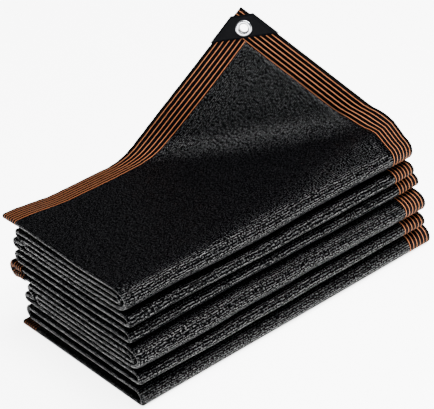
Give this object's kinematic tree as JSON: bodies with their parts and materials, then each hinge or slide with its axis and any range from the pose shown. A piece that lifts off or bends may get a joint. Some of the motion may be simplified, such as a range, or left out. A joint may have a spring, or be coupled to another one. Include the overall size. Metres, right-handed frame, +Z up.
{
  "type": "folded shade cloth",
  "caption": "Knitted shade cloth folded back and forth into a stack, with a striped edge tape and a raised corner that carries a patch and a metal eyelet.",
  "frame": {"origin": "centre of the bounding box, on the surface that the stack lies on", "axes": "+X along the stack's long side, from the doubled end to the end with the tape; +Y from the front fold noses to the back; +Z up"},
  "size_m": [0.4332, 0.3, 0.3228],
  "materials": {
    "cloth": "knitted, matt black with pale glints on the folds",
    "tape": "woven tape, black with thin orange stripes",
    "patch": "smooth black webbing",
    "eyelet": "bright"
  },
  "bodies": {
    "root": {"shade_cloth": "cloth", "tape_top_edge": "tape", "tape_bottom_edge": "tape", "tape_middle_fold": "tape", "tape_right_upper": "tape", "tape_right_lower": "tape", "corner_patch": "patch", "eyelet_ring": "eyelet"}
  },
  "joints": []
}
